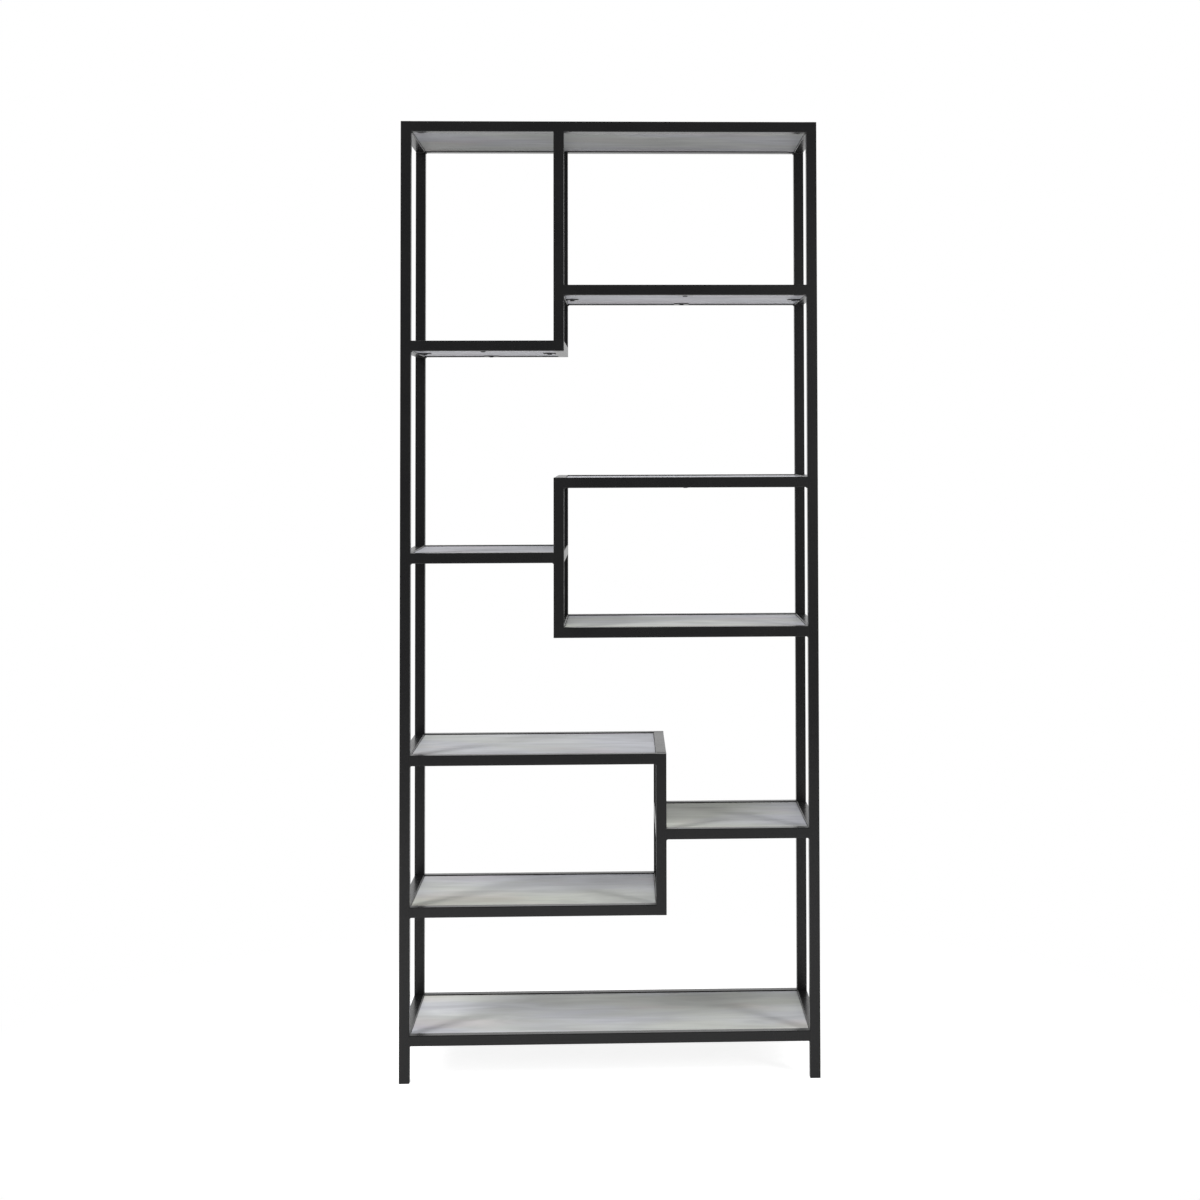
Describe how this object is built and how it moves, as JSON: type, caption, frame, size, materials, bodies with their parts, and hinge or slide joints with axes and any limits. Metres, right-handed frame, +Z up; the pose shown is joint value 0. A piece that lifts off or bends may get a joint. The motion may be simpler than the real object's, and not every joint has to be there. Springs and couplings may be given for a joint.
{
  "type": "etagere",
  "caption": "Tall open etagere: a square-tube steel frame with staggered full-width and part-width shelf boards, open at the back and sides.",
  "frame": {"origin": "on the floor under the middle of the stand", "axes": "+Z up, the open front faces -Y, +X to the viewer's right"},
  "size_m": [0.8, 0.35, 1.829],
  "materials": {
    "frame": "satin black powder coat on welded square steel tube",
    "board": "pale grey softly veined laminate on particleboard"
  },
  "bodies": {
    "root": {"post_front_left": "frame", "post_front_right": "frame", "post_rear_left": "frame", "post_rear_right": "frame", "hanging_post_front": "frame", "hanging_post_rear": "frame", "upper_box_post_front": "frame", "upper_box_post_rear": "frame", "lower_box_post_front": "frame", "lower_box_post_rear": "frame", "rail_front_top": "frame", "rail_rear_top": "frame", "rail_left_top": "frame", "rail_right_top": "frame", "board_top": "board", "rail_front_right_upper": "frame", "rail_rear_right_upper": "frame", "rail_left_right_upper": "frame", "rail_right_right_upper": "frame", "board_right_upper": "board", "rail_front_left_upper": "frame", "rail_rear_left_upper": "frame", "rail_left_left_upper": "frame", "rail_right_left_upper": "frame", "board_left_upper": "board", "rail_front_upper_box_top": "frame", "rail_rear_upper_box_top": "frame", "rail_left_upper_box_top": "frame", "rail_right_upper_box_top": "frame", "board_upper_box_top": "board", "rail_front_left_middle": "frame", "rail_rear_left_middle": "frame", "rail_left_left_middle": "frame", "rail_right_left_middle": "frame", "board_left_middle": "board", "rail_front_upper_box_floor": "frame", "rail_rear_upper_box_floor": "frame", "rail_left_upper_box_floor": "frame", "rail_right_upper_box_floor": "frame", "board_upper_box_floor": "board", "rail_front_lower_box_top": "frame", "rail_rear_lower_box_top": "frame", "rail_left_lower_box_top": "frame", "rail_right_lower_box_top": "frame", "board_lower_box_top": "board", "rail_front_right_lower": "frame", "rail_rear_right_lower": "frame", "rail_left_right_lower": "frame", "rail_right_right_lower": "frame", "board_right_lower": "board", "rail_front_lower_box_floor": "frame", "rail_rear_lower_box_floor": "frame", "rail_left_lower_box_floor": "frame", "rail_right_lower_box_floor": "frame", "board_lower_box_floor": "board", "rail_front_bottom": "frame", "rail_rear_bottom": "frame", "rail_left_bottom": "frame", "rail_right_bottom": "frame", "board_bottom": "board"}
  },
  "joints": []
}
